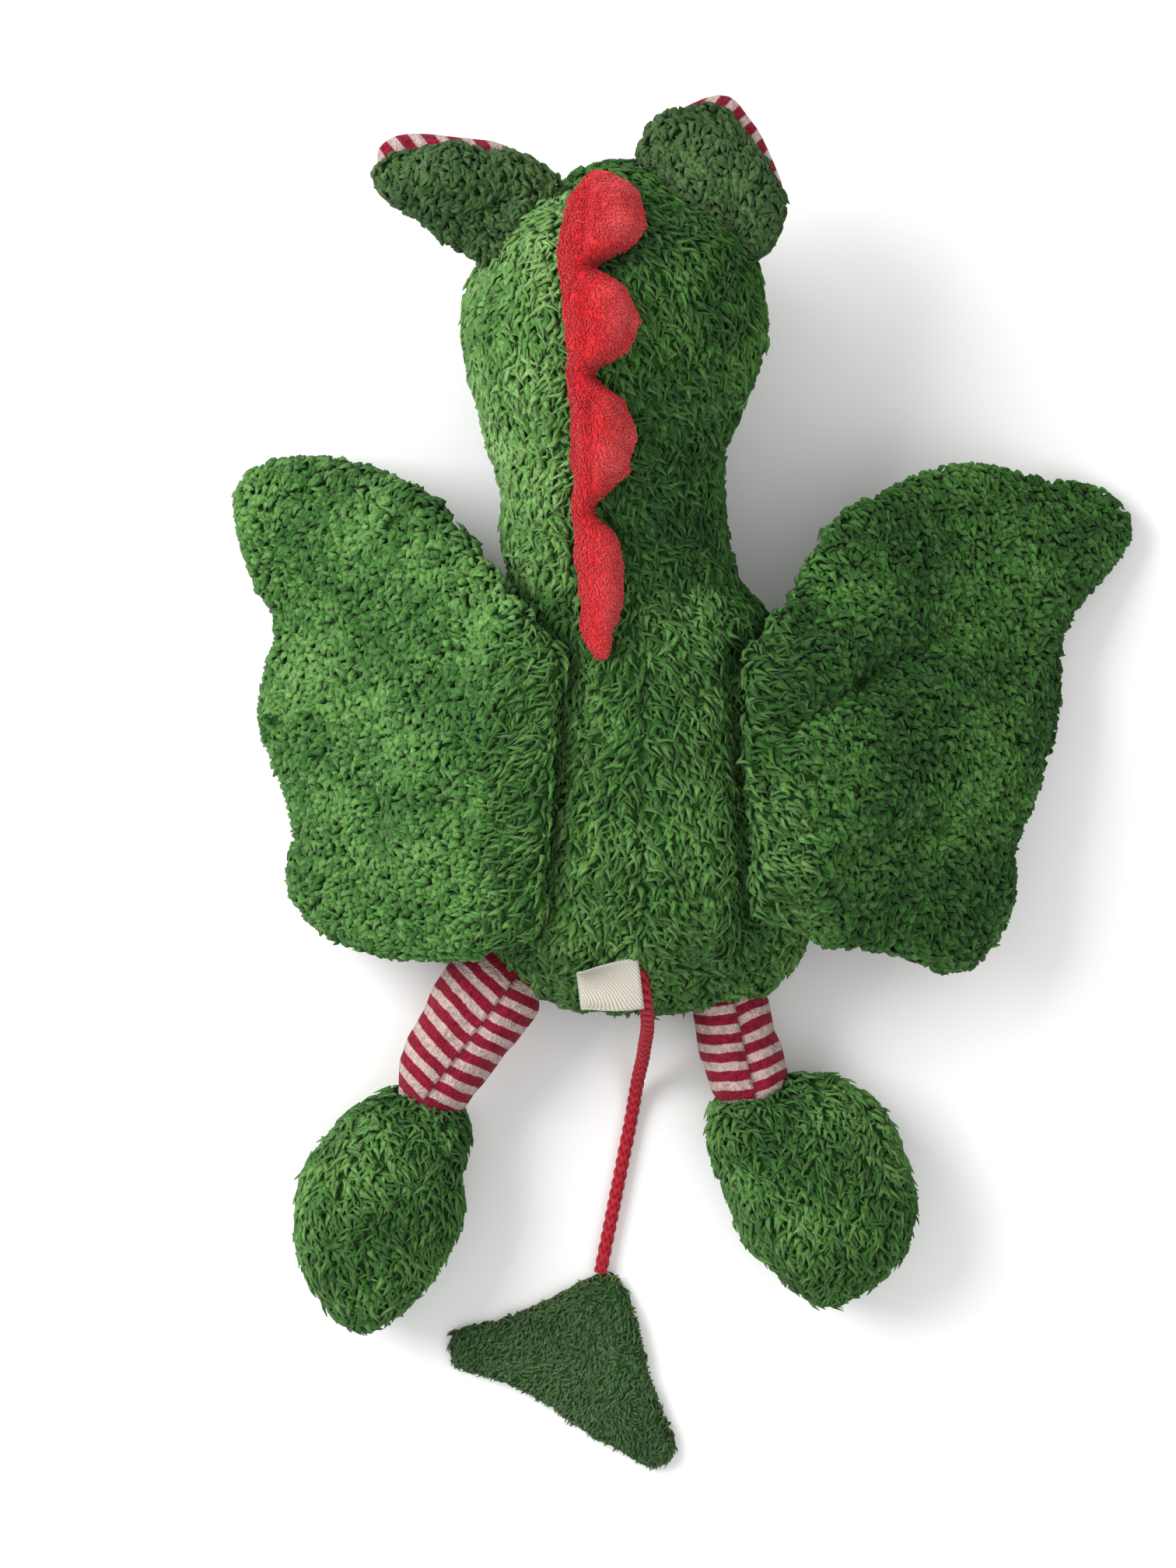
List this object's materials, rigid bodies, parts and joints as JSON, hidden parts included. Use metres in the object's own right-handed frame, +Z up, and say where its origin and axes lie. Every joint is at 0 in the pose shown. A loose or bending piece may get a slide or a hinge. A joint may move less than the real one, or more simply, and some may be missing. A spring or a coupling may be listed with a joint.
{
  "type": "plush dragon",
  "caption": "Stuffed plush dragon lying on its belly, with floppy wings, ears and striped legs, a crest along its back and a cord tail that pulls a clockwork movement.",
  "frame": {"origin": "middle of the flat patch that the belly rests on", "axes": "+Z up from the belly to the back, +Y from the belly towards the head, +X to the dragon's right as it lies face down"},
  "size_m": [0.233, 0.3535, 0.0967],
  "materials": {
    "green_terry": "looped cotton terry, shaggy",
    "polyester_fill": "loose fibre filling",
    "black_thread": "embroidery thread",
    "red_velour": "short brushed velour",
    "striped_jersey": "knitted jersey in crimson and cream stripes",
    "label_ribbon": "woven ribbon",
    "red_cord": "knitted cord",
    "tail_terry": "short pile with an overlocked edge",
    "case_plastic": "moulded",
    "gear_plastic": "moulded",
    "fan_plastic": "moulded",
    "string": "braided nylon",
    "brass": "satin",
    "steel": "satin"
  },
  "bodies": {
    "torso": {"back_panel_left": "green_terry", "back_panel_right": "green_terry", "belly_panel": "green_terry", "face_panel": "green_terry", "body_stuffing": "polyester_fill", "muzzle": "green_terry", "eye_left": "black_thread", "eye_right": "black_thread", "nostrils": "black_thread", "crest": "red_velour", "care_label": "label_ribbon", "case_base": "case_plastic", "case_cover": "case_plastic", "case_screws": "steel", "string_guide": "case_plastic", "pull_string": "string", "bedplate": "brass", "comb": "steel", "comb_screws": "steel"},
    "ear_left": {"ear_left_outer": "green_terry", "ear_left_lining": "striped_jersey", "ear_left_batting": "polyester_fill"},
    "ear_right": {"ear_right_outer": "green_terry", "ear_right_lining": "striped_jersey", "ear_right_batting": "polyester_fill"},
    "wing_left": {"wing_left_upper": "green_terry", "wing_left_lower": "green_terry", "wing_left_batting": "polyester_fill"},
    "wing_right": {"wing_right_upper": "green_terry", "wing_right_lower": "green_terry", "wing_right_batting": "polyester_fill"},
    "leg_left": {"leg_left_tube": "striped_jersey", "leg_left_stuffing": "polyester_fill"},
    "leg_right": {"leg_right_tube": "striped_jersey", "leg_right_stuffing": "polyester_fill"},
    "foot_left": {"foot_left_upper": "green_terry", "foot_left_sole": "green_terry", "foot_left_stuffing": "polyester_fill"},
    "foot_right": {"foot_right_upper": "green_terry", "foot_right_sole": "green_terry", "foot_right_stuffing": "polyester_fill"},
    "tail": {"tail_cord": "red_cord", "tail_tip": "tail_terry"},
    "drum": {"string_drum": "case_plastic", "string_winding": "string"},
    "barrel": {"spring_barrel": "brass", "mainspring": "steel"},
    "cylinder": {"music_cylinder": "brass", "cylinder_gears": "gear_plastic"},
    "governor": {"governor_wheel": "gear_plastic"},
    "fan": {"governor_fan": "fan_plastic"}
  },
  "joints": [
    {"name": "wing_left_flap", "type": "hinge", "parent": "torso", "child": "wing_left", "pos_m": [-0.019, 0.0085, 0.064], "axis": [0.0892, 0.996, 0], "range_deg": [0, 70]},
    {"name": "wing_right_flap", "type": "hinge", "parent": "torso", "child": "wing_right", "pos_m": [0.029, 0.009, 0.063], "axis": [0.0605, -0.9982, 0], "range_deg": [0, 70]},
    {"name": "ear_left_fold", "type": "hinge", "parent": "torso", "child": "ear_left", "pos_m": [-0.0315, 0.155, 0.054], "axis": [0.6887, 0.725, 0], "range_deg": [-35, 45], "stiffness_Nm_per_rad": 0.02},
    {"name": "ear_right_fold", "type": "hinge", "parent": "torso", "child": "ear_right", "pos_m": [0.0195, 0.16025, 0.054], "axis": [0.7148, -0.6993, 0], "range_deg": [-35, 45], "stiffness_Nm_per_rad": 0.02},
    {"name": "leg_left_swing", "type": "hinge", "parent": "torso", "child": "leg_left", "pos_m": [-0.0305, -0.0405, 0.02], "axis": [-1, 0, 0], "range_deg": [-25, 30]},
    {"name": "leg_right_swing", "type": "hinge", "parent": "torso", "child": "leg_right", "pos_m": [0.0288, -0.0468, 0.02], "axis": [-1, 0, 0], "range_deg": [-25, 30]},
    {"name": "foot_left_swing", "type": "hinge", "parent": "leg_left", "child": "foot_left", "pos_m": [-0.0525, -0.0705, 0.018], "axis": [-0.7915, 0.6112, 0], "range_deg": [-20, 25]},
    {"name": "foot_right_swing", "type": "hinge", "parent": "leg_right", "child": "foot_right", "pos_m": [0.033, -0.0703, 0.018], "axis": [-0.9707, -0.2402, 0], "range_deg": [-20, 25]},
    {"name": "tail_pull", "type": "slide", "parent": "torso", "child": "tail", "axis": [0, -1, 0], "range_m": [0, 0.2], "stiffness_N_per_m": 10, "deforming": ["pull_string"]},
    {"name": "drum_turn", "type": "hinge", "parent": "torso", "child": "drum", "pos_m": [0.003, 0.0176, 0.0354], "axis": [1, 0, 0], "range_deg": [0, 1335]},
    {"name": "barrel_turn", "type": "hinge", "parent": "torso", "child": "barrel", "pos_m": [0.011, 0.0176, 0.0354], "axis": [1, 0, 0], "continuous": true},
    {"name": "cylinder_turn", "type": "hinge", "parent": "torso", "child": "cylinder", "pos_m": [0, 0.0008, 0.0354], "axis": [1, 0, 0], "continuous": true},
    {"name": "governor_turn", "type": "hinge", "parent": "torso", "child": "governor", "pos_m": [-0.016, -0.0094, 0.0354], "axis": [1, 0, 0], "continuous": true},
    {"name": "fan_turn", "type": "hinge", "parent": "torso", "child": "fan", "pos_m": [-0.017, -0.0053, 0.0354], "axis": [0, 0, 1], "continuous": true}
  ],
  "couplings": [
    {"joint": "drum_turn", "follows": "tail_pull", "rad_per_m": 116.28},
    {"joint": "cylinder_turn", "follows": "barrel_turn", "ratio": -1.8},
    {"joint": "governor_turn", "follows": "barrel_turn", "ratio": 4.32},
    {"joint": "fan_turn", "follows": "barrel_turn", "ratio": 43.2}
  ]
}
